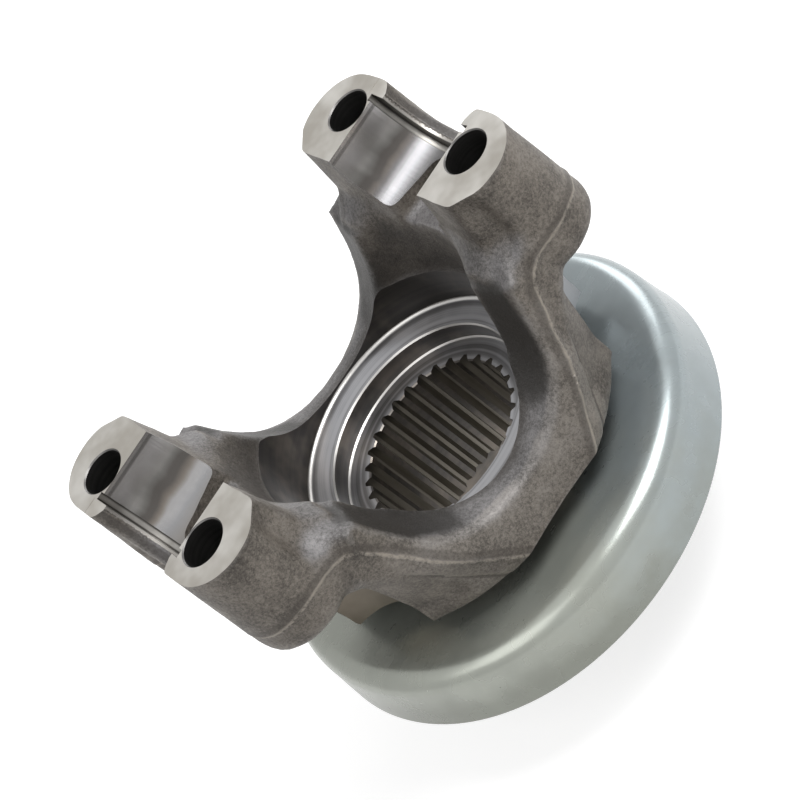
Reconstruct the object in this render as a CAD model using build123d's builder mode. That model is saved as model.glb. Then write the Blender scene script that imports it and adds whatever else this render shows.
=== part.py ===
from build123d import *
import math
import os

os.makedirs("parts", exist_ok=True)

# Frame: origin at the centre of the hub end face, +Z along the bore towards the
# ears, X across the two arms, Y across the clamp bolts. Millimetres throughout.

# Clamp end: cap seats, thrust faces and bolt holes.
face_z = 91.0
cap_r = 15.09
thrust_x = 46.04
lip_x = 49.3
relief_w = 1.6
relief_depth = 1.0
lip_inner_r = 12.9
lip_outer_r = 14.4
notch_in_y = 12.4
notch_out_y = 16.6
notch_depth = 0.9
bolt_x = 41.3
bolt_y = 19.95
bolt_hole_r = 4.65
seat_slot_w = 17.0
seat_slot_end_w = 12.4
seat_slot_depth = 17.5
seat_slot_end_x = 44.4
seat_slot_r = 2.0
seat_slot_start_x = 26.0
seat_start_x = 24.0
lip_side_y = 14.8
cutter_over = 3.0

# Bosses, seen along the bore.
boss_in_x = 30.65
boss_bevel_y = 25.2
boss_bevel_x = 34.7
boss_side_y = 29.35
boss_r = 10.0
boss_cx = 39.4
boss_cy = 20.6
boss_drop = 26.1
boss_draft = 3.6
boss_under_x = 6.0
parting_drop = 21.8
lower_draft = 8.0
boss_turn_drop = 24.2
boss_turn_draft = 52.0

# Wrench clearance around each bolt.
clear_r = 12.4
clear_gap = 0.4

# Forged body below the bosses.
base_drop = 49.8
base_chamfer = 0.8
back_top_r = 42.4
back_low_r = 39.0
back_low_drop = 44.0
back_top_drop = 30.2
back_flare = 3.0
side_y = 31.4
web_y = 37.8
web_flat_x = 12.8
web_x = 20.8
web_x_drop_in = 1.0
web_step_x = 24.5
web_step_y = 33.0
web_step_r = 1.6
web_side_x = 28.5
ledge_x = 40.0
ledge_swell = 0.7

# U-shaped window between the arms: crest line and the root of the ribbon.
root_y = 16.0
brow_y = 30.5
crest_y = 34.2
flank_y = 38.4
window_top_drop = 16.2
root_top_x = 22.3
root_mid_x = 19.6
root_mid_drop = 24.0
root_low_x = 14.0
root_low_drop = 33.2
root_foot_x = 7.5
root_foot_drop = 37.3
root_floor_drop = 38.8
brow_top_x = 24.9
brow_mid_x = 21.7
brow_mid_drop = 25.6
brow_low_x = 16.0
brow_low_drop = 34.3
brow_foot_x = 8.6
brow_foot_drop = 38.9
brow_floor_drop = 40.3
crest_top_x = 26.0
crest_mid_x = 22.7
crest_mid_drop = 26.0
crest_low_x = 17.2
crest_low_drop = 35.0
crest_foot_x = 9.0
crest_foot_drop = 39.9
crest_floor_drop = 41.3
flank_top_x = 26.4
flank_mid_x = 23.4
flank_mid_drop = 25.4
flank_low_x = 17.6
flank_low_drop = 39.4
flank_foot_x = 11.2
flank_foot_under = 0.6
flank_floor_under = 2.7
ledge_drop = 17.5
ledge_top_drop = 12.0
forge_x = 0.4

# Inner faces of the arms: middle, corner and far end at three levels.
inner_bend_drop = 11.4
inner_y = 20.0
inner_end_y = 40.0
inner_bend_mid_x = 30.5
inner_bend_corner_x = 28.8
inner_bend_end_x = 29.2
inner_low_mid_x = 30.4
inner_low_corner_x = 22.9
inner_low_end_x = 27.0

# Cavity, machined bowl, nut seat and splines.
cavity_top_r = 30.4
cavity_top_drop = 16.2
cavity_low_r = 28.4
cavity_low_drop = 32.0
cavity_under = 4.0
bowl_r = 28.5
bowl_drop = 41.1
bowl_foot_r = 1.2
bowl_top_drop = 26.0
land_r = 27.9
land_drop = 42.0
nut_r = 22.84
nut_drop = 46.7
spline_n = 30
spline_root_r = 18.68
spline_minor_r = 17.3
spline_bottom_drop = 74.7
spline_lead = 0.8
spline_gap_out = 1.44
spline_gap_in = 2.84
relief_r = 20.0

# Hub below the body.
shoulder_r = 30.0
shoulder_t = 5.3
seat_r = 25.4
seat_under = 0.3
seat_len = 5.0
journal_r = 23.8
journal_gap = 4.7
hub_chamfer = 1.2

# Pressed dust shield.
shield_r = 50.4
shield_top_r = 49.3
shield_t = 1.5
shield_h = 14.2
shield_bend_r = 4.4


def depth(value):
    return face_z - value


def u_curve(*right, floor_drop):
    lower = [(x, depth(drop)) for x, drop in right]
    left = [(-x, z) for x, z in lower]
    return left + [(0, depth(floor_drop))] + lower[::-1]


root_curve = u_curve(
    (root_top_x, window_top_drop),
    (root_mid_x, root_mid_drop),
    (root_low_x, root_low_drop),
    (root_foot_x, root_foot_drop),
    floor_drop=root_floor_drop,
)
brow_curve = u_curve(
    (brow_top_x, window_top_drop),
    (brow_mid_x, brow_mid_drop),
    (brow_low_x, brow_low_drop),
    (brow_foot_x, brow_foot_drop),
    floor_drop=brow_floor_drop,
)
crest_curve = u_curve(
    (crest_top_x, window_top_drop),
    (crest_mid_x, crest_mid_drop),
    (crest_low_x, crest_low_drop),
    (crest_foot_x, crest_foot_drop),
    floor_drop=crest_floor_drop,
)
flank_curve = u_curve(
    (flank_top_x, window_top_drop),
    (flank_mid_x, flank_mid_drop),
    (flank_low_x, flank_low_drop),
    (flank_foot_x, base_drop - flank_foot_under),
    floor_drop=base_drop + flank_floor_under,
)
window_sections = (
    (root_y, root_curve),
    (brow_y, brow_curve),
    (crest_y, crest_curve),
    (flank_y, flank_curve),
)
forge_shift = Location((forge_x, 0, 0))

base_z = depth(base_drop)
back_low_z = depth(back_low_drop)
parting_z = depth(parting_drop)
boss_bottom_z = depth(boss_drop)
clear_z = boss_bottom_z - clear_gap
spline_bottom_z = depth(spline_bottom_drop)
shoulder_z = base_z - shoulder_t
shield_top_z = shoulder_z
shield_rim_z = shield_top_z - shield_h
journal_z = shield_rim_z - journal_gap


with BuildPart() as yoke:
    # Boss columns: one drafted, rounded block for each arm.
    with BuildPart(mode=Mode.PRIVATE) as arm_block:
        with BuildSketch(Plane.XY.offset(face_z)) as boss_plan:
            with BuildLine():
                Polyline(
                    (boss_cx + boss_r, -boss_cy),
                    (boss_cx + boss_r, boss_cy),
                )
                ThreePointArc(
                    (boss_cx + boss_r, boss_cy),
                    (
                        boss_cx + boss_r * math.cos(math.radians(60)),
                        boss_cy + boss_r * math.sin(math.radians(60)),
                    ),
                    (boss_bevel_x, boss_side_y),
                )
                Polyline(
                    (boss_bevel_x, boss_side_y),
                    (boss_in_x, boss_bevel_y),
                    (boss_in_x - boss_under_x, boss_bevel_y),
                    (boss_in_x - boss_under_x, -boss_bevel_y),
                    (boss_in_x, -boss_bevel_y),
                    (boss_bevel_x, -boss_side_y),
                )
                ThreePointArc(
                    (boss_bevel_x, -boss_side_y),
                    (
                        boss_cx + boss_r * math.cos(math.radians(-60)),
                        -boss_cy + boss_r * math.sin(math.radians(-60)),
                    ),
                    (boss_cx + boss_r, -boss_cy),
                )
            make_face()
        extrude(amount=-parting_drop)
        drafted_faces = [
            f
            for f in arm_block.faces()
            if abs(f.normal_at().Z) < 0.01 and f.center().X > boss_in_x + 0.5
        ]
        draft(drafted_faces, Plane.XY.offset(face_z), boss_draft)
        # Below the parting line the sides lean in, then turn under in two steps.
        for upper_drop, lower_drop, lean in (
            (parting_drop, boss_turn_drop, lower_draft),
            (boss_turn_drop, boss_drop, boss_turn_draft),
        ):
            extrude(arm_block.faces().sort_by(Axis.Z)[0], amount=lower_drop - upper_drop)
            leaning_faces = [
                f
                for f in arm_block.faces()
                if f.center().Z < depth(upper_drop)
                and f.center().X > boss_in_x + 0.5
                and abs(f.normal_at().Z) < 0.01
            ]
            draft(leaning_faces, Plane.XY.offset(depth(upper_drop)), -lean)
        # Between its bosses the arm is flat outside, without the draft.
        with BuildSketch(Plane.XY.offset(face_z)) as outer_flat:
            with Locations((lip_x + cutter_over, 0)):
                Rectangle(2 * cutter_over, 2 * lip_side_y)
        extrude(amount=-parting_drop, mode=Mode.SUBTRACT)
    add(arm_block.part)
    add(mirror(arm_block.part, about=Plane.YZ, mode=Mode.PRIVATE))

    # Web ring: the outline both dies share, clipped by the turned back below.
    with BuildPart(mode=Mode.PRIVATE) as web:
        with BuildSketch(Plane.XY.offset(base_z)) as web_plan:
            with BuildLine():
                Polyline(
                    (0, -web_y),
                    (web_flat_x, -web_y),
                    (web_x, -web_y + web_x_drop_in),
                    (web_x + web_step_r, -web_step_y - web_step_r),
                    (web_step_x, -web_step_y),
                    (web_side_x, -side_y),
                    (back_top_r + back_flare, -side_y),
                    (back_top_r + back_flare, 0),
                    (0, 0),
                    close=True,
                )
            make_face()
            mirror(about=Plane.YZ)
            mirror(about=Plane.XZ)
        extrude(amount=depth(ledge_drop) - base_z)
        with BuildSketch(Plane.XZ) as back_profile:
            with BuildLine():
                Polyline(
                    (0, base_z),
                    (back_low_r - base_chamfer, base_z),
                    (back_low_r, base_z + base_chamfer),
                    (back_low_r, back_low_z),
                    (back_top_r, depth(back_top_drop)),
                    (back_top_r + back_flare / 3, depth(back_top_drop - back_flare * 2 / 3)),
                    (back_top_r + back_flare, boss_bottom_z),
                    (back_top_r + back_flare, depth(ledge_drop)),
                    (0, depth(ledge_drop)),
                    close=True,
                )
            make_face()
        revolve(axis=Axis.Z, mode=Mode.INTERSECT)
    add(web.part)

    # Shoulders that carry the boss corners out onto the web.
    for side in (-1, 1):
        with BuildSketch(Plane.XY.offset(depth(ledge_drop))) as ledge_low:
            Polygon(
                (side * web_step_x, -web_step_y),
                (side * web_side_x, -side_y),
                (side * ledge_x, -side_y),
                (side * ledge_x, side_y),
                (side * web_side_x, side_y),
                (side * web_step_x, web_step_y),
                align=None,
            )
        with BuildSketch(Plane.XY.offset(depth(ledge_top_drop))) as ledge_top:
            Polygon(
                (side * boss_in_x, -boss_bevel_y - ledge_swell),
                (side * boss_bevel_x, -boss_side_y - ledge_swell),
                (side * ledge_x, -boss_side_y - ledge_swell),
                (side * ledge_x, boss_side_y + ledge_swell),
                (side * boss_bevel_x, boss_side_y + ledge_swell),
                (side * boss_in_x, boss_bevel_y + ledge_swell),
                align=None,
            )
        loft(ruled=True)

    # Hub turned below the body.
    with BuildSketch(Plane.XZ) as hub_profile:
        with BuildLine():
            Polyline(
                (0, 0),
                (journal_r - hub_chamfer, 0),
                (journal_r, hub_chamfer * 1.7),
                (journal_r, journal_z),
                (seat_r - seat_under, journal_z + seat_r - seat_under - journal_r),
                (seat_r - seat_under, shield_top_z - seat_len - seat_under),
                (seat_r, shield_top_z - seat_len),
                (seat_r, shoulder_z),
                (shoulder_r, shoulder_z),
                (shoulder_r, base_z + hub_chamfer),
                (0, base_z + hub_chamfer),
                close=True,
            )
        make_face()
    revolve(axis=Axis.Z)

    # Window between the arms: ribbon from its root out to the brow, then over the
    # crest and down the flank to the parting line.
    for side in (-1, 1):
        for near_section, far_section in zip(window_sections, window_sections[1:]):
            for section_y, curve in (near_section, far_section):
                with BuildSketch(Plane.XZ.offset(side * section_y).move(forge_shift)):
                    with BuildLine():
                        Spline(*curve)
                        Line(curve[-1], curve[0])
                    make_face()
            loft(ruled=True, mode=Mode.SUBTRACT)

    # Inner faces of the arms: flat at the ears, curving into the cavity.
    ear_level = (0, boss_in_x, boss_in_x, boss_in_x)
    bend_level = (inner_bend_drop, inner_bend_mid_x, inner_bend_corner_x, inner_bend_end_x)
    low_level = (window_top_drop, inner_low_mid_x, inner_low_corner_x, inner_low_end_x)
    for levels in ((ear_level, bend_level), (bend_level, low_level)):
        for drop, mid_x, corner_x, end_x in levels:
            shift = forge_x if drop > 0 else 0.0
            gap_plane = Plane((shift, 0, depth(drop)))
            with BuildSketch(gap_plane) as gap_shape:
                with BuildLine():
                    ThreePointArc((corner_x, -inner_y), (mid_x + 0.01, 0), (corner_x, inner_y))
                    Line((corner_x, inner_y), (end_x, inner_end_y))
                    Line((end_x, inner_end_y), (-end_x, inner_end_y))
                    Line((-end_x, inner_end_y), (-corner_x, inner_y))
                    ThreePointArc((-corner_x, inner_y), (-mid_x - 0.01, 0), (-corner_x, -inner_y))
                    Line((-corner_x, -inner_y), (-end_x, -inner_end_y))
                    Line((-end_x, -inner_end_y), (end_x, -inner_end_y))
                    Line((end_x, -inner_end_y), (corner_x, -inner_y))
                make_face()
        loft(ruled=True, mode=Mode.SUBTRACT)

    # Forged cavity, a shallow cone set slightly off the bore axis.
    with BuildSketch(Plane.XZ.move(Location((forge_x, 0, 0)))) as cavity_profile:
        with BuildLine():
            Polyline(
                (0, depth(cavity_top_drop)),
                (cavity_top_r, depth(cavity_top_drop)),
                (cavity_low_r, depth(cavity_low_drop)),
                (cavity_low_r - cavity_under, depth(cavity_low_drop + cavity_under)),
                (0, depth(cavity_low_drop + cavity_under)),
                close=True,
            )
        make_face()
    revolve(axis=Axis((forge_x, 0, 0), (0, 0, 1)), mode=Mode.SUBTRACT)

    # Machined bowl, land, nut seat, spline bore and relief in one profile.
    with BuildSketch(Plane.XZ) as bore_profile:
        with BuildLine():
            Polyline(
                (0, -cutter_over),
                (relief_r + hub_chamfer, -cutter_over),
                (relief_r + hub_chamfer, 0),
                (relief_r, hub_chamfer),
                (relief_r, spline_bottom_z),
                (spline_minor_r, spline_bottom_z + spline_lead),
                (spline_minor_r, depth(nut_drop) - spline_lead),
                (spline_minor_r + spline_lead, depth(nut_drop)),
                (nut_r, depth(nut_drop)),
                (nut_r, depth(land_drop)),
                (land_r, depth(bowl_drop)),
                (bowl_r - bowl_foot_r, depth(bowl_drop)),
                (bowl_r, depth(bowl_drop - bowl_foot_r)),
                (bowl_r, depth(bowl_top_drop)),
                (0, depth(bowl_top_drop)),
                close=True,
            )
        make_face()
    revolve(axis=Axis.Z, mode=Mode.SUBTRACT)

    # Spline grooves.
    with BuildSketch(Plane.XY.offset(spline_bottom_z - spline_lead)) as groove_plan:
        with PolarLocations(0, spline_n):
            Polygon(
                (spline_minor_r - spline_lead, -spline_gap_in / 2),
                (spline_root_r, -spline_gap_out / 2),
                (spline_root_r, spline_gap_out / 2),
                (spline_minor_r - spline_lead, spline_gap_in / 2),
                align=None,
            )
    extrude(amount=depth(nut_drop) - spline_bottom_z + 2 * spline_lead, mode=Mode.SUBTRACT)

    # Wrench clearance under each boss, cut down past the base.
    with BuildSketch(Plane.XY.offset(clear_z)) as clear_plan:
        with GridLocations(2 * bolt_x, 2 * bolt_y, 2, 2):
            Circle(clear_r)
    extrude(amount=shoulder_z - clear_z, mode=Mode.SUBTRACT)

    # Half-round cap seats, relief grooves, thrust faces and drafted lips.
    with BuildSketch(Plane.XZ) as seat_profile:
        with BuildLine():
            Polyline(
                (seat_start_x, face_z),
                (seat_start_x, face_z - cap_r),
                (thrust_x - relief_w, face_z - cap_r),
                (thrust_x - relief_w, face_z - cap_r - relief_depth),
                (thrust_x, face_z - cap_r - relief_depth),
                (thrust_x, face_z - lip_inner_r),
                (lip_x, face_z - lip_outer_r),
                (lip_x + cutter_over, face_z - lip_outer_r),
                (lip_x + cutter_over, face_z),
                close=True,
            )
        make_face()
        mirror(about=Plane.YZ)
    revolve(axis=Axis((0, 0, face_z), (1, 0, 0)), mode=Mode.SUBTRACT)

    # Forged slot in the middle of each cap seat.
    with BuildSketch(Plane.XY.offset(depth(seat_slot_depth))) as slot_plan:
        with BuildLine():
            Polyline(
                (seat_slot_start_x, -seat_slot_w / 2),
                (seat_slot_end_x - seat_slot_r, -seat_slot_end_w / 2),
                (seat_slot_end_x, -seat_slot_end_w / 2 + seat_slot_r),
                (seat_slot_end_x, seat_slot_end_w / 2 - seat_slot_r),
                (seat_slot_end_x - seat_slot_r, seat_slot_end_w / 2),
                (seat_slot_start_x, seat_slot_w / 2),
                close=True,
            )
        make_face()
        mirror(about=Plane.YZ)
    extrude(amount=seat_slot_depth - cap_r / 2, mode=Mode.SUBTRACT)

    # Small machined flats at the ends of the lips.
    with BuildSketch(Plane.XY.offset(depth(notch_depth))) as notch_plan:
        with GridLocations(2 * (thrust_x + cutter_over), notch_in_y + notch_out_y, 2, 2):
            Rectangle(2 * cutter_over, notch_out_y - notch_in_y)
    extrude(amount=notch_depth + cutter_over, mode=Mode.SUBTRACT)

    # Bolt holes.
    with BuildSketch(Plane.XY.offset(face_z)) as hole_plan:
        with GridLocations(2 * bolt_x, 2 * bolt_y, 2, 2):
            Circle(bolt_hole_r)
    extrude(amount=-(boss_drop + cutter_over), mode=Mode.SUBTRACT)

yoke.part.label = "yoke"
export_step(yoke.part, "parts/yoke.step")


with BuildPart() as dust_shield:
    # Deep-drawn cup: flat disc, rolled corner and a slightly flared skirt.
    with BuildSketch(Plane.XZ) as shield_profile:
        with BuildLine():
            Polyline(
                (shield_top_r - shield_bend_r, shield_top_z),
                (seat_r, shield_top_z),
                (seat_r, shield_top_z - shield_t),
                (shield_top_r - shield_bend_r, shield_top_z - shield_t),
            )
            RadiusArc(
                (shield_top_r - shield_bend_r, shield_top_z - shield_t),
                (shield_top_r - shield_t, shield_top_z - shield_bend_r),
                shield_bend_r - shield_t,
            )
            Polyline(
                (shield_top_r - shield_t, shield_top_z - shield_bend_r),
                (shield_r - shield_t, shield_rim_z),
                (shield_r, shield_rim_z),
                (shield_top_r, shield_top_z - shield_bend_r),
            )
            RadiusArc(
                (shield_top_r, shield_top_z - shield_bend_r),
                (shield_top_r - shield_bend_r, shield_top_z),
                -shield_bend_r,
            )
        make_face()
    revolve(axis=Axis.Z)

dust_shield.part.label = "dust_shield"
export_step(dust_shield.part, "parts/dust_shield.step")
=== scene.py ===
import math

import bmesh
import bpy
import numpy as np
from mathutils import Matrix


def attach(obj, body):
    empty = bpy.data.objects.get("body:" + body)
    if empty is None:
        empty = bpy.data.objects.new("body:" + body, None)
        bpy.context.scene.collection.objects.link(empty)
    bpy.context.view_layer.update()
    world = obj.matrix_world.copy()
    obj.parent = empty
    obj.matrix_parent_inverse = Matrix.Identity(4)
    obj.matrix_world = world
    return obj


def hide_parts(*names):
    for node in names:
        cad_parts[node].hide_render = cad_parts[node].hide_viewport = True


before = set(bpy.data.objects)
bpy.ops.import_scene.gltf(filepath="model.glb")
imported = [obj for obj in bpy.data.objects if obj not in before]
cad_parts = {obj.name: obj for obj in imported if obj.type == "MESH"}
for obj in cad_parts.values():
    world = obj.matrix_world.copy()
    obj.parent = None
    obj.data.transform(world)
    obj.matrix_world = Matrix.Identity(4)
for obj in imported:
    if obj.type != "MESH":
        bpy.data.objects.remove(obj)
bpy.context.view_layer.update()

scene = bpy.context.scene
scene.view_settings.view_transform = "Standard"
mm = 0.001


# Yoke forging. One hot-forged steel body: hub, web ring and two arms with four bolt
# bosses. The dies leave rounded edges, a blasted brown-grey skin and a flash line.
# It starts as the finished solid with machining stock put back on every cut face.

# Sizes, paths and the bounds of colour masks are in millimetres, here and below.
ear_z = 91.0
arm_x = 24.0
thrust_x = 46.04
groove_r = 16.09
slot_half = 9.0
notch_depth = 1.0
rough_seat_r = 12.75
bowl_r = 28.5
bowl_floor_z = 49.9
bowl_top_z = 65.0
base_z = 41.2
bolt_x = 41.3
bolt_y = 19.95
clear_r = 12.4
clear_top_z = 64.5
stock = 2.0
clear_stock = 2.4
on_wall = 0.05
slack = 0.1
skin_cell = 0.75
skin_rounds = 2

# Where the dies met, as (x, y, depth below the ears) for one quarter: round the outside
# of a boss, then down the flank of the web to the base.
flash_path = [
    (50.6, 0, 18.7), (50.6, 20.6, 18.7), (49.7, 25.2, 18.5), (48.2, 27.5, 18.3),
    (46.1, 29.5, 18.0), (43.6, 30.9, 17.7), (41.0, 31.6, 17.6), (38.4, 31.7, 17.5),
    (35.6, 31.5, 17.7), (32.4, 31.4, 18.0), (30.2, 31.4, 19.0), (28.5, 31.5, 20.8),
    (26.9, 32.0, 23.7), (25.2, 32.6, 27.2), (22.6, 34.2, 32.4), (20.2, 35.5, 37.0),
    (17.6, 35.8, 41.6), (14.4, 36.5, 45.8), (10.8, 37.3, 50.4),
]
# The rounded crest above it, matched to the path's last eight points and on to x = 0.
crest_path = [
    (25.6, 30.6, 16.5), (24.2, 31.0, 19.3), (22.6, 31.0, 23.6), (21.0, 31.8, 28.0),
    (19.0, 33.2, 31.8), (17.0, 34.0, 35.0), (14.0, 34.4, 37.9), (10.2, 34.6, 40.4),
    (5.0, 34.9, 42.7), (0, 34.9, 43.2),
]
flank_path = flash_path[-8:] + [(5.2, 37.6, 53.5), (0, 37.8, 55.0)]
# The middle of the hollow that runs down each bevelled boss corner from the ear face.
hollow_path = [(32.7, 27.3, -1.0), (32.6, 27.9, 7.0), (31.8, 28.6, 12.0), (29.2, 29.9, 16.5)]
# The dies sat a little off the middle. Each flank runs on past its crest and its parting
# line by these shares of its width, and the die is this thick and ends past the middle.
die_shift = 0.4
past_crest = 0.04
past_parting = 0.9
die_thickness = 14
past_middle = 2


def rebuild(mesh, parts, weld=0.0, face_out=False):
    """Makes the mesh anew from the parts' faces. Points nearer than weld are joined,
    and the faces are turned outwards where face_out says so."""
    shape = bmesh.new()
    for part in parts:
        shape.from_mesh(part)
    if weld:
        bmesh.ops.remove_doubles(shape, verts=shape.verts, dist=weld * mm)
    if face_out:
        bmesh.ops.recalc_face_normals(shape, faces=shape.faces)
    shape.to_mesh(mesh)
    shape.free()


def grid_mesh(name, points, loop_u, loop_v):
    """A mesh from points[u, v]: each cell of the grid is a face. The grid closes on
    itself along u or v where loop_u or loop_v says so, and doubled points are joined,
    which closes poles."""
    rows, columns = points.shape[:2]
    index = np.arange(rows * columns).reshape(rows, columns)
    if loop_u:
        index = np.vstack([index, index[:1]])
    if loop_v:
        index = np.hstack([index, index[:, :1]])
    faces = np.stack([index[:-1, :-1], index[1:, :-1], index[1:, 1:], index[:-1, 1:]], -1)
    mesh = bpy.data.meshes.new(name)
    mesh.from_pydata((points * mm).reshape(-1, 3).tolist(), [], faces.reshape(-1, 4).tolist())
    rebuild(mesh, [mesh], weld=0.0001, face_out=True)
    return mesh


def turned(name, profile, centre=(0, 0, 0), along="z", steps=128):
    """A closed profile of (radius, height) points carried round an axis through centre.
    A point at angle a is (radius cos a, radius sin a, height), and the axes are swapped
    in turn where the axis runs along x."""
    radius, height = np.array(profile, float).T
    angle = np.arange(steps) * 2 * math.pi / steps
    across = radius[:, None] * np.cos(angle)
    beside = radius[:, None] * np.sin(angle)
    level = np.broadcast_to(height[:, None], across.shape)
    axes = (across, beside, level) if along == "z" else (level, across, beside)
    return grid_mesh(name, np.stack(axes, -1) + centre, True, True)


def put(name, data):
    """An object of that mesh, lamp or lens at the origin."""
    piece = bpy.data.objects.new(name, data)
    scene.collection.objects.link(piece)
    return piece


def evaluated(piece):
    """The piece's mesh with its modifiers applied."""
    bpy.context.view_layer.update()
    graph = bpy.context.evaluated_depsgraph_get()
    return bpy.data.meshes.new_from_object(piece.evaluated_get(graph))


def table_of(rows, what, kind, width=1):
    """One property of all the vertices, edges, corners or faces, width numbers each."""
    values = np.empty(len(rows) * width, kind)
    rows.foreach_get(what, values)
    return values.reshape(-1, width) if width > 1 else values


def points_of(mesh):
    """All vertex positions."""
    return table_of(mesh.vertices, "co", np.float32, 3).astype(float) / mm


def normals_of(mesh):
    """All vertex normals, one long."""
    return table_of(mesh.vertices, "normal", np.float32, 3).astype(float)


def edges_of(mesh):
    """The two vertex numbers of every edge."""
    return table_of(mesh.edges, "vertices", np.int32, 2)


def move(mesh, points):
    """Puts the mesh's vertices at those points."""
    mesh.vertices.foreach_set("co", (points * mm).astype(np.float32).ravel())
    mesh.update()


def with_stock(points):
    """Points of the finished yoke moved back to the rough forging: seat walls go in
    towards the cap axis, bowl walls towards the bore, clearance walls towards their
    bolt, the base face down and the ear faces up."""
    x, y, z = points.T
    cap = np.hypot(y, ear_z - z)
    seat = (np.abs(x) > arm_x) & (np.abs(x) < thrust_x + on_wall) & (cap < groove_r + 2 * slack)
    rough = np.minimum(cap, rough_seat_r)
    beside = np.where(np.abs(y) < slot_half, y, y * rough / np.maximum(cap, 1))
    below = np.sqrt(np.maximum(rough**2 - beside**2, 0))
    y = np.where(seat, beside, y)
    z = np.where(seat, ear_z - below, z)
    z = np.where(points[:, 2] > ear_z - notch_depth, ear_z + stock, z)
    bore = np.hypot(x, y)
    wall = (np.abs(bore - bowl_r) < on_wall) & (z > bowl_floor_z - slack) & (z < bowl_top_z + 1)
    draw = np.where(wall, (bore - stock) / np.maximum(bore, 1), 1)
    x, y = x * draw, y * draw
    from_x, from_y = np.abs(x) - bolt_x, np.abs(y) - bolt_y
    reach = np.hypot(from_x, from_y)
    cleared = (np.abs(reach - clear_r) < on_wall) & (z < clear_top_z + slack)
    pull = np.where(cleared, (reach - clear_stock) / np.maximum(reach, 1), 1)
    x = np.sign(x) * (bolt_x + from_x * pull)
    y = np.sign(y) * (bolt_y + from_y * pull)
    z = np.where(np.abs(z - base_z) < on_wall, base_z - stock, z)
    return np.stack([x, y, z], 1)


def placed(path):
    """A path of (x, y, depth below the ears) as points."""
    x, y, drop = np.array(path, float).T
    return np.stack([x, y, ear_z - drop], 1)


def flank_die(side, rank):
    """The die's flank for one quarter: straight lines from each crest point to the
    parting line and on past it, with the box outside them that the die fills. Both
    ends of that tube close to their middle. Its corners run the other way round in two
    quarters, so that its bent faces split alike in all four."""
    crest, parting = placed(crest_path), placed(flank_path)
    start = crest + (crest - parting) * past_crest
    end = parting + (parting - crest) * past_parting
    out = np.array([0, die_thickness, 0])
    tube = np.stack([start, end, end + out, start + out])
    if rank * side > 0:
        tube = tube[::-1]
    first = np.broadcast_to(tube[:, :1].mean(0), (4, 1, 3))
    far_end = tube[:, -1:].copy()
    far_end[:, :, 0] = -past_middle
    last = np.broadcast_to(far_end.mean(0), (4, 1, 3))
    rows = np.concatenate([first, tube, far_end, last], 1)
    return grid_mesh("flank_die", rows * (side, rank, 1) + (die_shift, 0, 0), True, False)


def from_path(points, path):
    """For each point, its distance to a path that all four quarters share, and that
    distance measured along the skin, above the path or below it (negative)."""
    path = placed(path)
    here = np.stack([np.abs(points[:, 0] - die_shift), np.abs(points[:, 1]), points[:, 2]], 1)
    nearest = np.full(len(here), np.inf)
    above = np.zeros(len(here))
    for start, end in zip(path, path[1:]):
        run = end - start
        share = np.clip((here - start) @ run / (run @ run), 0, 1)
        gap = here - start - share[:, None] * run
        upward = np.cross((run[1], -run[0], 0), run)
        upward /= np.linalg.norm(upward)
        reach = np.linalg.norm(gap, axis=1)
        closer = reach < nearest
        nearest = np.where(closer, reach, nearest)
        above = np.where(closer, gap @ upward, above)
    return nearest, above


def bell(distance, width):
    """1 at no distance, falling off smoothly over about that width."""
    return np.exp(-((distance / width) ** 2))


def ramp(value, none, full):
    """0 at one bound and 1 at the other, with a straight run between."""
    return np.clip((value - none) / (full - none), 0, 1)


def relaxed(points, edges, rounds, share=0.5):
    """Each point moved part of the way to the mean of its neighbours, round after round."""
    count = np.bincount(edges.ravel(), minlength=len(points))[:, None]
    both = np.vstack([edges, edges[:, ::-1]])
    for _ in range(rounds):
        total = np.stack(
            [np.bincount(both[:, 0], points[both[:, 1], k], len(points)) for k in range(3)], 1
        )
        points = points + share * (total / count - points)
    return points


def unevenness(points, length, waves, seed):
    """Smooth random height over the points, about -1 to 1: a sum of plane waves with
    seeded directions and phases, near one wavelength."""
    draw = np.random.default_rng(seed)
    direction = draw.normal(size=(waves, 3))
    direction /= np.linalg.norm(direction, axis=1)[:, None]
    direction *= draw.uniform(0.7, 1.4, (waves, 1)) * 2 * math.pi / length
    phase = draw.uniform(0, 2 * math.pi, waves)
    return np.sin(points @ direction.T + phase).sum(1) / math.sqrt(waves)


def remesh(piece):
    """Adds a live voxel skin of one cell size to the piece."""
    skin = piece.modifiers.new("skin", "REMESH")
    skin.mode = "VOXEL"
    skin.voxel_size = skin_cell * mm


def cut_away(piece, tool):
    """Adds a live cut of the tool from the piece. The faces it leaves take its finish."""
    step = piece.modifiers.new("cut", "BOOLEAN")
    step.object = tool
    step.operation = "DIFFERENCE"
    step.solver = "MANIFOLD"
    step.material_mode = "TRANSFER"


# The rough shape is solid where the bore and the bolt holes will be cut.
quarters = [(side, rank) for side in (-1, 1) for rank in (-1, 1)]
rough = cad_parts["yoke"].data.copy()
rebuild(rough, [rough], weld=0.002)
move(rough, with_stock(points_of(rough)))
hub_plug = turned("hub_plug", [(0, -4), (31.5, -4), (31.5, 41), (27, 41), (27, 51), (0, 51)])
bolt_plugs = [
    turned("bolt_plug", [(0, 65), (7, 65), (7, 92), (0, 92)], (bolt_x * side, bolt_y * rank, 0))
    for side, rank in quarters
]
rebuild(rough, [rough, hub_plug, *bolt_plugs])
blank = put("blank", rough)
dies = [put("die", flank_die(side, rank)) for side, rank in quarters]
remesh(blank)
for die in dies:
    cut_away(blank, die)
remesh(blank)
forging = evaluated(blank)
for die in dies:
    bpy.data.objects.remove(die)
smooth = relaxed(points_of(forging), edges_of(forging), skin_rounds)
move(forging, smooth)

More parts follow.
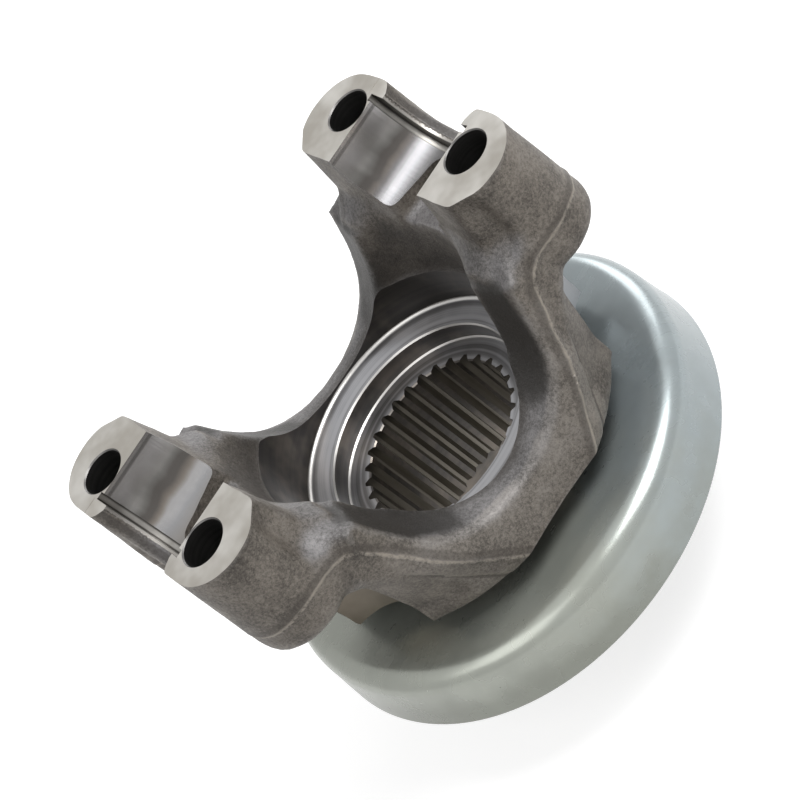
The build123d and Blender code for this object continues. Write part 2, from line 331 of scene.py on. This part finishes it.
# The skin's relief: a patchy ridge of flash, a small step below it, a ledge low on the
# web where the flash was trimmed, the hollows down the boss corners, and waviness.
ridge_width = 0.55
ridge_height = 0.20
step_width = 2.4
step_depth = 0.14
ledge_width = 9
ledge_depth = 0.45
hollow_width = 2.5
hollow_depth = 1.15
broad_height = 0.05
small_height = 0.02
flash_gap, flash_side = from_path(smooth, flash_path)
hollow_gap = from_path(smooth, hollow_path)[0]
below_ear = ear_z - smooth[:, 2]
on_web = ramp(np.abs(smooth[:, 0]), 28.5, 26.0)
patchy = np.clip(1 + 0.45 * unevenness(smooth, 7, 24, 9), 0.2, 1.6)
ridge = bell(flash_gap, ridge_width) * patchy * ridge_height
step = ramp(flash_side, 0.3, -0.3) * bell(flash_gap, step_width) * step_depth
ledge = ramp(flash_side, -3.2, -4.0) * bell(flash_gap, ledge_width) * on_web * ledge_depth
hollow = bell(hollow_gap, hollow_width) * ramp(below_ear, 0.3, 5) * hollow_depth
broad_waves = unevenness(smooth, 16, 24, 3) * broad_height
small_waves = unevenness(smooth, 3.5, 40, 5) * small_height
lift = ridge - step - ledge - hollow + broad_waves + small_waves
move(forging, smooth + normals_of(forging) * lift[:, None])
blank.modifiers.clear()
blank.data = forging


class Tone:
    """A shader socket whose arithmetic adds Math nodes. node() adds any other node."""

    def __init__(self, tree, socket=None):
        self.tree = tree
        self.socket = socket

    def node(self, kind, settings=(), inputs=(), output=0):
        """A node of that kind: its settings first, then each input's value or link."""
        made = self.tree.nodes.new("ShaderNode" + kind)
        for name, value in dict(settings).items():
            if name == "stops":
                stops = made.color_ramp.elements
                while len(stops) < len(value):
                    stops.new(1)
                for stop, (place, colour) in zip(stops, value):
                    stop.position = place
                    stop.color = (*colour, 1)
            else:
                setattr(made, name, value)
        for name, value in dict(inputs).items():
            if isinstance(value, Tone):
                self.tree.links.new(value.socket, made.inputs[name])
            else:
                made.inputs[name].default_value = value
        return Tone(self.tree, made.outputs[output] if len(made.outputs) else None)

    def math(self, operation, first, second=0.0):
        return self.node("Math", {"operation": operation}, {0: first, 1: second})

    def __add__(self, other):
        return self.math("ADD", self, other)

    def __radd__(self, other):
        return self.math("ADD", other, self)

    def __sub__(self, other):
        return self.math("SUBTRACT", self, other)

    def __rsub__(self, other):
        return self.math("SUBTRACT", other, self)

    def __mul__(self, other):
        return self.math("MULTIPLY", self, other)

    def __rmul__(self, other):
        return self.math("MULTIPLY", other, self)

    def __truediv__(self, other):
        return self.math("DIVIDE", self, other)

    def __abs__(self):
        return self.math("ABSOLUTE", self)


def clear_finish(name):
    """A new material with an empty node tree, as (material, tone)."""
    finish = bpy.data.materials.new(name)
    finish.use_nodes = True
    finish.node_tree.nodes.clear()
    return finish, Tone(finish.node_tree)


def place_on(tone):
    """The place on the piece, as a vector."""
    place = tone.node("TexCoord", output="Object")
    return tone.node("VectorMath", {"operation": "SCALE"}, {0: place, "Scale": 1 / mm})


def normal_on(tone):
    """The direction that the surface faces, as a vector one long."""
    return tone.node("TexCoord", output="Normal")


def part_of(vector, axis):
    """The vector's own X, Y or Z."""
    return vector.node("SeparateXYZ", {}, {0: vector}, axis)


def from_bore(place):
    """Distance from the bore's axis."""
    across = part_of(place, "X")
    beside = part_of(place, "Y")
    return place.math("SQRT", across * across + beside * beside)


def marked(tone, name):
    """One of the numbers that the mesh carries at each point."""
    return tone.node("Attribute", {"attribute_name": name}, {}, "Fac")


def between(mask, none, full):
    """How far the mask is on its way from one bound to the other, as 0 to 1 with soft
    ends. The first bound may be the larger one."""
    bounds = {"Value": mask, "From Min": none, "From Max": full}
    return mask.node("MapRange", {"interpolation_type": "SMOOTHSTEP"}, bounds)


def tinted(mask, low, high):
    """A colour that goes from low to high as the mask goes from 0 to 1. Sockets 6 and 7
    of a Mix node, and its output number 2, are the ones for colours."""
    colours = [c if isinstance(c, Tone) else (*c, 1) for c in (low, high)]
    inputs = {0: mask, 6: colours[0], 7: colours[1]}
    return mask.node("Mix", {"data_type": "RGBA"}, inputs, 2)


def grain(place, size, detail=3.0, rough=0.6, stretch=(1, 1, 1)):
    """Noise of about that grain size, stretched along the axes."""
    spread = place.node("Mapping", {}, {"Vector": place, "Scale": tuple(1 / s for s in stretch)})
    inputs = {"Vector": spread, "Scale": 1 / size, "Detail": detail, "Roughness": rough}
    return place.node("TexNoise", {}, inputs)


def metal(colour, roughness, height, relief, metallic=1.0):
    """The metal's surface: colour, roughness and a bump from height, relief deep."""
    shape = {"Height": height, "Distance": relief * mm, "Strength": 1.0}
    bump = colour.node("Bump", {}, shape)
    inputs = {"Base Color": colour, "Roughness": roughness, "Metallic": metallic, "Normal": bump}
    surface = colour.node("BsdfPrincipled", {}, inputs)
    colour.node("OutputMaterial", {}, {"Surface": surface})


forged_skin, tone = clear_finish("forged_skin")
place = place_on(tone)
normal = normal_on(tone)
across = part_of(place, "X")
beside = part_of(place, "Y")
level = part_of(place, "Z")
bore_reach = from_bore(place)
sideways = abs(part_of(normal, "X"))
curl = grain(place, 0.62, 4, 0.65)
fine = grain(place, 0.26, 2)
blotch = grain(place, 8, 3)
patches = between(curl * 0.5 + blotch * 0.6, 0.36, 0.60)

# Mottled scale, warmer on the flanks and greyer and cooler where it faces up, a painted sheen.
upward_sheen = between(part_of(normal, "Z") + (blotch - 0.5) * 0.9, 0.10, 0.90)
mottle = between(curl * 0.50 + fine * 0.30 + blotch * 0.45, 0.42, 0.84)
warm_skin = tinted(mottle, (0.038, 0.032, 0.026), (0.212, 0.187, 0.159))
sheen_skin = tinted(mottle, (0.038, 0.035, 0.034), (0.178, 0.171, 0.171))
skin_colour = tinted(upward_sheen, warm_skin, sheen_skin)

# Darker skin: painted shade inside the cavity, and a dark crescent at the back of each seat.
shaded_cavity = between(bore_reach + (blotch - 0.5) * 4, 31.5, 28.5) * between(level, 77, 72)
crescent = between(abs(across), 47.0, 47.4) * between(level, 72, 75)
crescent = crescent * between(abs(beside), 15.0, 13.5) * between(sideways, 0.8, 0.5)
cavity_shade_and_crescent = tone.math("MAXIMUM", shaded_cavity * 0.75, crescent * 0.65)
shaded_and_dark_skin = tinted(cavity_shade_and_crescent, skin_colour, (0.034, 0.029, 0.025))

# Below the bosses, painted shade on a ribbon down the web's inner side, where it faces away from
# the light, and painted light on the crest beside it.
below_boss = between(level, 75.4, 73.8)
outwards = abs(beside) + (blotch - 0.5) * 3
ribbon_shade = between(sideways, 0.42, 0.58) * below_boss * between(bore_reach, 39, 37)
ribbon_shade = ribbon_shade * between(outwards, 32.8, 31.2) * between(outwards, 19, 23)
crest_light = between(outwards, 31.8, 33.0) * between(outwards, 36.6, 35.2)
crest_light = crest_light * below_boss * (0.08 + 0.35 * mottle)
crest_lit_skin = tinted(crest_light, shaded_and_dark_skin, (0.27, 0.247, 0.22))
ribbon_shaded = tinted(ribbon_shade * 0.88, crest_lit_skin, (0.017, 0.015, 0.013))

# Edges worn bright in handling.
edge = between(marked(tone, "edge_wear") + (curl - 0.5) * 0.8, 0.35, 1.0) * 0.22
worn = tinted(edge, ribbon_shaded, (0.235, 0.225, 0.217))

# A bright, broken flash line, painted shade on the skin above it, and on the flank a second line
# where the flash was trimmed, with a dark line of painted shadow below that, under the ledge.
flash_reach = marked(tone, "flash_gap")
strayed = marked(tone, "flash_side") + (blotch - 0.5) * 1.0 + (curl - 0.5) * 0.6
line = between(abs(strayed), 0.50, 0.12) * between(flash_reach, 1.6, 0.9) * patches
shade = between(abs(strayed - 1.1), 1.3, 0.3) * between(flash_reach, 2.6, 1.6)
on_flank = between(abs(across), 27.5, 23.5) * between(flash_reach, 5.4, 4.6)
trimmed = between(abs(strayed + 3.5), 0.60, 0.15) * on_flank
ledge_shadow = between(abs(strayed + 4.2), 0.50, 0.12) * on_flank * patches
shaded = tinted(shade * 0.50, worn, (0.046, 0.038, 0.031))
trimmed_skin = tinted(trimmed * 0.35, shaded, (0.25, 0.225, 0.19))
ledge_shadowed_skin = tinted(ledge_shadow * 0.65, trimmed_skin, (0.034, 0.028, 0.023))
metal(
    tinted(line * 0.75, ledge_shadowed_skin, (0.32, 0.285, 0.24)),
    0.58 - 0.10 * edge - 0.10 * mottle,
    # The cavity's mask also roughens the skin there, and the line of painted shadow under the
    # ledge is sunk in.
    curl * 0.6 + fine * 0.4 + line * 0.4 + shaded_cavity * curl * 0.8 + trimmed * 0.4 - ledge_shadow * 1.2,
    0.13,
    0.30,
)


# Machining. The forging is held by its bore and cut: ear faces milled, cap seats
# bored in half with a relief groove and thrust lips, bolt holes drilled, wrench
# clearance milled below the bosses, hub and bowl turned, splines broached.
ear_milled, tone = clear_finish("ear_milled")
place = place_on(tone)
cutter_path = grain(place, 0.5, 3, 0.5, (12, 1, 12))
smear = between(grain(place, 11, 3), 0.30, 0.70)
metal(
    tinted(smear, (0.36, 0.338, 0.302), (0.52, 0.505, 0.475)),
    0.34 + 0.12 * smear,
    cutter_path,
    0.012,
)

# Round a seat from one ear to the other, painted reflections: a bright wall, a dark bottom, a
# bright wall with a dark stripe. The right arm's low side is painted darker still over its lamp
# reflection, and both have a thin burr on top.
reflection_span = 30
seat_bored, tone = clear_finish("seat_bored")
place = place_on(tone)
beside = part_of(place, "Y")
level = part_of(place, "Z")
feed_marks = grain(place, 0.4, 2, 0.5, (1, 30, 30))
band = grain(place, 4, 2, 0.5, (1, 12, 12))
cloud = grain(place, 9, 2)
round_seat = beside / reflection_span + 0.5 + (band - 0.5) * 0.05 + (cloud - 0.5) * 0.05
seat_reflections = tone.node("ValToRGB", {"stops": [
    (0.00, (0.42, 0.41, 0.40)), (0.20, (0.50, 0.49, 0.48)), (0.30, (0.42, 0.37, 0.32)),
    (0.41, (0.155, 0.135, 0.120)), (0.56, (0.165, 0.150, 0.138)), (0.72, (0.24, 0.23, 0.22)),
    (0.79, (0.22, 0.22, 0.225)), (0.853, (0.28, 0.275, 0.275)), (0.880, (0.17, 0.15, 0.13)),
    (0.907, (0.082, 0.075, 0.069)), (0.930, (0.085, 0.078, 0.072)), (0.950, (0.15, 0.145, 0.137)),
    (0.975, (0.29, 0.28, 0.27)), (1.00, (0.40, 0.39, 0.39)),
]}, {0: round_seat})
right_arm = between(part_of(place, "X"), -10, 10)
low_side = between(beside, 12.2, 11.0) * between(beside, 2, 5)
# A painted darker patch on the right arm's low side, where the key lamp's reflection would fall.
dimmed_reflections = tinted(right_arm * low_side * 0.75, seat_reflections, (0.065, 0.065, 0.070))
burr = between(level, 89.3, 89.7) * between(level, 90.4, 90.1)
burred = tinted(burr * 0.6, dimmed_reflections, (0.07, 0.066, 0.062))
metal(
    tinted(band * 0.12, burred, (0.30, 0.29, 0.28)),
    0.20 + 0.10 * cloud,
    feed_marks,
    0.008,
)

# Outwards from the seat's end: painted shade in the groove's two corners, its clean thrust face,
# and behind it the rough ring of the lip.
relief_turned, tone = clear_finish("relief_turned")
place = place_on(tone)
outward = abs(part_of(place, "X"))
end_on = abs(part_of(normal_on(tone), "X"))
smear = grain(place, 3, 2)
speck = grain(place, 0.6, 3)
inner_corner_shade = between(outward, 45.0, 44.62)
outer_corner_shade = between(outward, 45.60, 45.85) * between(outward, 46.2, 46.0)
thrust_face = between(outward, 46.1, 46.2)
jagged = between(outward + (speck - 0.5) * 1.2, 46.55, 46.75)
floor_colour = tinted(smear, (0.17, 0.16, 0.145), (0.36, 0.35, 0.33))
corner_shade_colour = tinted(end_on, (0.028, 0.025, 0.022), (0.085, 0.080, 0.074))
scale_colour = tinted(between(speck, 0.42, 0.66), (0.030, 0.026, 0.022), (0.15, 0.135, 0.12))
lined = tinted(inner_corner_shade * 0.8, floor_colour, (0.030, 0.027, 0.024))
rimmed = tinted(thrust_face, lined, (0.31, 0.295, 0.275))
ringed = tinted(outer_corner_shade * 0.85, rimmed, corner_shade_colour)
metal(
    tinted(jagged, ringed, scale_colour),
    0.26 + 0.10 * smear + 0.25 * jagged,
    smear + speck * jagged * 4,
    0.01,
    1 - jagged * 0.7,
)

# Turned faces have fine rings; the walls are painted darker as shade and the flat faces lighter,
# and the corners carry a painted highlight.
turned_steel, tone = clear_finish("turned_steel")
place = place_on(tone)
radius = from_bore(place)
groove = tone.node("CombineXYZ", {}, {0: radius, 1: part_of(place, "Z")})
feed_marks = grain(groove, 0.30, 2)
band = grain(groove, 1.0, 2)
stain = grain(place, 12, 3)
tilt = abs(part_of(normal_on(tone), "Z"))
flat_face = between(tilt, 0.90, 0.97)
corner_highlight = between(tilt, 0.25, 0.45) * (1 - flat_face) * between(radius, 19, 21)
lines = between(band * 0.75 + stain * 0.25, 0.34, 0.64)
warmth = between(stain, 0.45, 0.70)
shaded_wall_colour = tinted(lines * 0.2 + warmth * 0.7, (0.11, 0.105, 0.10), (0.25, 0.22, 0.19))
lit_face_colour = tinted(lines, (0.145, 0.143, 0.146), (0.335, 0.335, 0.347))
turned_colour = tinted(flat_face, shaded_wall_colour, lit_face_colour)
metal(
    tinted(corner_highlight * 0.85, turned_colour, (0.50, 0.49, 0.475)),
    0.26 + 0.14 * stain,
    feed_marks,
    0.010,
)

broached, tone = clear_finish("broached")
place = place_on(tone)
streak = grain(place, 0.6, 2, 0.5, (1, 1, 25))
cloud = grain(place, 7, 2)
mouth = between(part_of(place, "Z"), 40.5, 44.2)
cut_colour = tinted(streak * 0.6 + cloud * 0.4, (0.155, 0.141, 0.118), (0.37, 0.345, 0.30))
metal(
    tinted(mouth * 0.6, cut_colour, (0.030, 0.027, 0.023)),
    0.38 + 0.14 * streak,
    streak,
    0.012,
)

# The clearances under the right arm carry a painted bright reflection; the left arm's are a dull
# olive.
clearance_milled, tone = clear_finish("clearance_milled")
place = place_on(tone)
step_marks = grain(place, 0.4, 2, 0.5, (30, 30, 1))
cloud = grain(place, 6, 2)
dull = tinted(cloud, (0.105, 0.088, 0.066), (0.21, 0.185, 0.152))
right_reflection = between(part_of(place, "X"), -10, 10)
metal(
    tinted(right_reflection, dull, (0.31, 0.318, 0.33)),
    0.40 + 0.12 * cloud,
    step_marks,
    0.012,
    0.8,
)

drilled, tone = clear_finish("drilled")
swirl = grain(place_on(tone), 0.7, 2, 0.5, (20, 20, 1))
metal(tinted(swirl, (0.055, 0.054, 0.053), (0.16, 0.155, 0.15)), 0.4, swirl, 0.02)

cutters = []


def cut(mesh, finish):
    """Keeps a cutter for the forging, and the finish of the faces it leaves."""
    mesh.materials.append(finish)
    cutters.append(put("cutter", mesh))


def prism(name, outline, start, end):
    """An outline of (y, z) points carried straight along x from start to end, with both
    ends closed to their middle."""
    ring = np.array(outline, float)
    middle = np.broadcast_to(ring.mean(0), ring.shape)
    rows = [
        np.column_stack([np.full(len(ring), x), shape])
        for x, shape in ((start, middle), (start, ring), (end, ring), (end, middle))
    ]
    return grid_mesh(name, np.array(rows), False, True)


# Each cutter's profile, as (radius, place along its axis).
seat_r = 15.09
seat_end_x = 44.44
lip_hole_r = 13.2
lip_hole_x = 47.6
lip_end_x = 54
drill_r = 4.65
end_profile = [(0, -8), (70, -8), (70, 0), (0, 0)]
ear_profile = [(0, ear_z), (90, ear_z), (90, 99), (0, 99)]
seat_profile = [(0, 20), (seat_r, 20), (seat_r, seat_end_x), (0, seat_end_x)]
relief_profile = [
    (0, 43.9), (15.0, 43.9), (15.0, seat_end_x), (groove_r, seat_end_x), (groove_r, thrust_x),
    (lip_hole_r, thrust_x), (lip_hole_r, lip_hole_x), (0, lip_hole_x),
]
drill_profile = [
    (0, 60), (5.4, 60), (5.4, 64.7), (drill_r, 65.45), (drill_r, 90.75), (5.2, 91.3), (5.2, 95),
    (0, 95),
]
mill_profile = [(0, 33), (clear_r, 33), (clear_r, clear_top_z), (0, clear_top_z)]
# The slanted flat on the end of a lip, as (y, z).
lip_flat = [(12.2, 90.15), (17.0, 90.95), (17.0, 94), (12.2, 94)]
# Up the bore: its chamfer and pilot, the spline's inner circle, the nut's counterbore,
# the land and the bowl.
bore_profile = [
    (0, -6), (22.2, -6), (22.2, -1), (20, 1.2), (20, 16.3), (17.3, 17.1), (17.3, 44.0),
    (17.6, 44.3), (17.7, 44.3), (22.4, 44.3), (22.52, 44.3), (22.84, 44.62), (22.84, 48.66),
    (23.14, 49.0), (23.3, 49.02), (27.7, 49.83), (27.85, 49.86), (28.3, 50.12), (bowl_r, 50.5),
    (bowl_r, 50.7), (bowl_r, bowl_top_z), (0, bowl_top_z),
]
# Up the outside of the hub: its chamfer, its steps, the shield's seat and the base.
hub_profile = [
    (22.6, -6), (22.6, 0), (23.8, 2.04), (23.8, 17), (25.1, 18.3), (25.1, 30.6), (25.4, 30.9),
    (25.4, 35.9), (30, 35.9), (30, base_z), (60, base_z), (60, -6),
]

cut(turned("end_tool", end_profile, steps=64), turned_steel)
cut(turned("ear_mill", ear_profile, steps=64), ear_milled)
cap_centre = (0, 0, ear_z)
for side in (-1, 1):
    seat = [(radius, side * x) for radius, x in seat_profile]
    relief = [(radius, side * x) for radius, x in relief_profile]
    cut(turned("seat_bore", seat, cap_centre, "x", 256), seat_bored)
    cut(turned("relief_tool", relief, cap_centre, "x", 256), relief_turned)
    for rank in (-1, 1):
        bolt = (bolt_x * side, bolt_y * rank, 0)
        flat = [(rank * y, z) for y, z in lip_flat]
        cut(turned("drill", drill_profile, bolt, steps=96), drilled)
        cut(turned("end_mill", mill_profile, bolt, steps=128), clearance_milled)
        cut(prism("lip_mill", flat, thrust_x * side, lip_end_x * side), ear_milled)
cut(turned("bore_tool", bore_profile, steps=256), turned_steel)

# The broach: a ring of teeth, each four points at a share of the pitch, where a point at
# angle a is (r cos a, r sin a). It runs straight up, and closes to the axis at both ends.
tooth_count = 30
tooth_turn = np.array([-0.39, -0.10, 0.10, 0.39])
tooth_r = np.array([17.0, 18.72, 18.72, 17.0])
broach_ends = (15, 45)
pitch = 2 * math.pi / tooth_count
turn = ((np.arange(tooth_count)[:, None] + tooth_turn) * pitch).ravel()
tooth = np.tile(tooth_r, tooth_count)
ring = np.stack([tooth * np.cos(turn), tooth * np.sin(turn), np.zeros(len(turn))], 1)
broach = np.stack([
    ring * share + (0, 0, height)
    for height, shares in zip(broach_ends, ((0, 1), (1, 0)))
    for share in shares
])
cut(grid_mesh("broach", broach, True, True), broached)
cut(turned("hub_tool", hub_profile, steps=256), turned_steel)

blank.data.materials.clear()
blank.data.materials.append(forged_skin)
for tool in cutters:
    cut_away(blank, tool)
finished = evaluated(blank)
for tool in [*cutters, blank]:
    bpy.data.objects.remove(tool)
finished.name = "yoke_steel"

# Smooth faces, sharp at real edges and wherever one finish meets another.
real_edge = 34
finished.shade_smooth()
finished.set_sharp_from_angle(angle=math.radians(real_edge))
corner_edge = table_of(finished.loops, "edge_index", np.int32)
face_finish = table_of(finished.polygons, "material_index", np.int32)
face_corners = table_of(finished.polygons, "loop_total", np.int32)
corner_finish = np.repeat(face_finish, face_corners)
lowest = np.full(len(finished.edges), len(finished.materials))
highest = np.zeros(len(finished.edges), int)
np.minimum.at(lowest, corner_edge, corner_finish)
np.maximum.at(highest, corner_edge, corner_finish)
sharp = table_of(finished.edges, "use_edge_sharp", bool)
finished.edges.foreach_set("use_edge_sharp", sharp | (lowest != highest))

# What the skin's colour reads at each point: how far it stands proud of its neighbours,
# as wear, and how far it is from the flash line, along the skin and straight.
wear_height = 0.12
wear_gain = 2.0
mark_reach = 6
place = points_of(finished)
joined = edges_of(finished)
proud = np.einsum("ij,ij->i", place - relaxed(place, joined, 1, 1.0), normals_of(finished))
crest = np.clip(proud / wear_height, -1, 1)[:, None].repeat(3, 1)
crest = relaxed(crest, joined, 2)[:, 0]
flash_gap, flash_side = from_path(place, flash_path)
marks = {
    "edge_wear": np.clip(crest * wear_gain, 0, 1),
    "flash_side": np.clip(flash_side, -mark_reach, mark_reach),
    "flash_gap": np.clip(flash_gap, 0, mark_reach),
}
for name, value in marks.items():
    mark = finished.attributes.new(name, "FLOAT", "POINT")
    mark.data.foreach_set("value", value.astype(np.float32))
yoke_steel = put("yoke_steel", finished)
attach(yoke_steel, "root")
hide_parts("yoke")


# Dust shield. A cup deep-drawn from thin steel sheet, bright zinc plated with a
# pale blue-green cast, pressed on the hub below the shoulder. Its corner is rolled
# and its skirt flares a little to a trimmed rim.
shield_top_z = 35.9
shield_rim_z = 21.7
shield_hole_r = 25.4
shield_top_r = 49.3
shield_rim_r = 50.4
shield_bend_r = 4.4
shield_t = 1.5
shield_edge = 40
hole_round = 0.2
rim_rise = 0.4
broad_height = 0.05
small_height = 0.012


def arc(centre, radius, start, end, count=12):
    """Points (radius, height) round a corner, from start to end degrees: the centre
    plus radius times the angle's cosine and sine."""
    turn = np.radians(np.linspace(start, end, count))
    return np.stack([centre[0] + radius * np.cos(turn), centre[1] + radius * np.sin(turn)], 1)


bend = (shield_top_r - shield_bend_r, shield_top_z - shield_bend_r)
disc = np.linspace(shield_hole_r + hole_round, bend[0], 24)[:-1]
down = np.linspace(0, 1, 16)[1:-1]
outer_skirt = np.stack([
    shield_top_r + (shield_rim_r - shield_top_r) * down,
    bend[1] + (shield_rim_z - bend[1]) * down,
], 1)
rim_centre = (shield_rim_r - shield_t / 2, shield_rim_z + rim_rise)
shield_profile = np.vstack([
    [(shield_hole_r, shield_top_z - hole_round)],
    np.stack([disc, np.full(len(disc), shield_top_z)], 1),
    arc(bend, shield_bend_r, 90, 0),
    outer_skirt,
    arc(rim_centre, shield_t / 2 - 0.02, 0, -180, 7),
    (outer_skirt - (shield_t, 0))[::-1],
    arc(bend, shield_bend_r - shield_t, 0, 90),
    np.stack([disc[::-1], np.full(len(disc), shield_top_z - shield_t)], 1),
    [(shield_hole_r, shield_top_z - shield_t + hole_round)],
])
shield_mesh = turned("dust_cup", shield_profile, steps=288)
drawn = points_of(shield_mesh)
broad_waves = unevenness(drawn * (1, 1, 0.4), 22, 24, 11) * broad_height
small_waves = unevenness(drawn, 7, 30, 12) * small_height
off_rim = ramp(drawn[:, 2], shield_rim_z, 24)
lift = (broad_waves + small_waves) * off_rim
move(shield_mesh, drawn + normals_of(shield_mesh) * lift[:, None])
shield_mesh.shade_smooth()
shield_mesh.set_sharp_from_angle(angle=math.radians(shield_edge))

# Clouded zinc, blue on the right and olive on the left, with painted shade low on the skirt's
# left and a painted dark reflection in a ring on the right of the disc.
zinc_plate, tone = clear_finish("zinc_plate")
place = place_on(tone)
across = part_of(place, "X")
level = part_of(place, "Z")
cloud = grain(place, 16, 4)
scuff = grain(place, 2.5, 2, 0.5, (3, 1, 2))
spangle = grain(place, 0.5, 2)
leftwards = between(across + (cloud - 0.5) * 60, 35, -20)
shade = cloud * 0.65 + scuff * 0.35
blue_cast = tinted(shade, (0.225, 0.258, 0.266), (0.355, 0.397, 0.408))
olive_cast = tinted(shade, (0.265, 0.280, 0.248), (0.41, 0.425, 0.380))
passivated = tinted(leftwards, blue_cast, olive_cast)
skirt_shade = between(level + (cloud - 0.5) * 6, 31, 24) * leftwards
skirt_shaded = tinted(skirt_shade * 0.5, passivated, (0.13, 0.135, 0.112))
# The ring is a painted dark reflection near the disc's rolled corner.
hub_reach = from_bore(place) + (cloud - 0.5) * 4
ring = between(hub_reach, 34, 41) * between(hub_reach, 46.2, 44.5)
ring = ring * between(across + (cloud - 0.5) * 20, -18, 10)
metal(
    tinted(ring * 0.20, skirt_shaded, (0.085, 0.100, 0.112)),
    0.20 + 0.10 * cloud + 0.05 * scuff,
    spangle * 0.25 + cloud * 0.4,
    0.010,
    0.60,
)
shield_mesh.materials.append(zinc_plate)
dust_cup = put("dust_cup", shield_mesh)
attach(dust_cup, "root")
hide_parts("dust_shield")


# Floor and light. A white sheet under the hub end, a wide key lamp from the upper right,
# a weaker rim lamp behind and a fill lamp from the left, all soft, in a white surround.
floor_half = 3000
floor_grey = 0.5
floor_shown = 0.76
surround = 0.27
lamp_aim = (0, 0, 0.05)


def shown(tone):
    """1 where the camera sees a surface, straight, mirrored or through glass."""
    seen = tone.node("LightPath", output="Is Camera Ray")
    mirrored = tone.node("LightPath", output="Is Glossy Ray")
    through = tone.node("LightPath", output="Is Transmission Ray")
    return tone.math("MINIMUM", seen + mirrored + through, 1.0)


corners = np.array([[(-1, -1, 0), (1, -1, 0)], [(-1, 1, 0), (1, 1, 0)]], float)
floor_mesh = grid_mesh("floor", corners * floor_half, False, False)
floor_white, tone = clear_finish("floor_white")
sheet = tone.node("BsdfDiffuse", {}, {"Color": (floor_grey, floor_grey, floor_grey, 1)})
glow = tone.node("Emission", {}, {"Color": (1, 1, 1, 1), "Strength": shown(tone) * floor_shown})
both = tone.node("AddShader", {}, {0: sheet, 1: glow})
tone.node("OutputMaterial", {}, {"Surface": both})
floor_mesh.materials.append(floor_white)
floor = put("floor", floor_mesh)

world = bpy.data.worlds.new("surround")
scene.world = world
world.use_nodes = True
world.node_tree.nodes.clear()
tone = Tone(world.node_tree)
strength = surround + (1 - surround) * shown(tone)
sky = tone.node("Background", {}, {"Color": (1, 1, 1, 1), "Strength": strength})
tone.node("OutputWorld", {}, {"Surface": sky})


def lamp(name, place, size, power):
    """A square soft lamp at place, turned towards lamp_aim in the yoke. Its place, its
    aim and its size are in metres."""
    light = bpy.data.lights.new(name, "AREA")
    light.size = size
    light.energy = power
    holder = put(name, light)
    holder.location = place
    away = np.array(lamp_aim) - np.array(place)
    level = math.hypot(away[0], away[1])
    holder.rotation_euler = (math.atan2(level, -away[2]), 0, math.atan2(-away[0], away[1]))


lamp("key", (0.40, -0.26, 0.82), 0.5, 8.4)
lamp("rim", (0.66, 0.60, 0.42), 0.45, 2.6)
lamp("fill", (-0.58, -0.25, 0.74), 0.6, 2.0)


# Camera. It looks down the bore from in front of the front ears, rolled so that the
# arms run from lower left to upper right as in the photograph.
lens = bpy.data.cameras.new("camera")
lens.lens = 101.6
lens.sensor_width = 36
lens.clip_start = 0.01
camera = put("camera", lens)
camera.location = (-0.0335, -0.34185, 0.31698)
camera.rotation_euler = (math.radians(38.689), math.radians(39.420), math.radians(-44.223))
scene.camera = camera
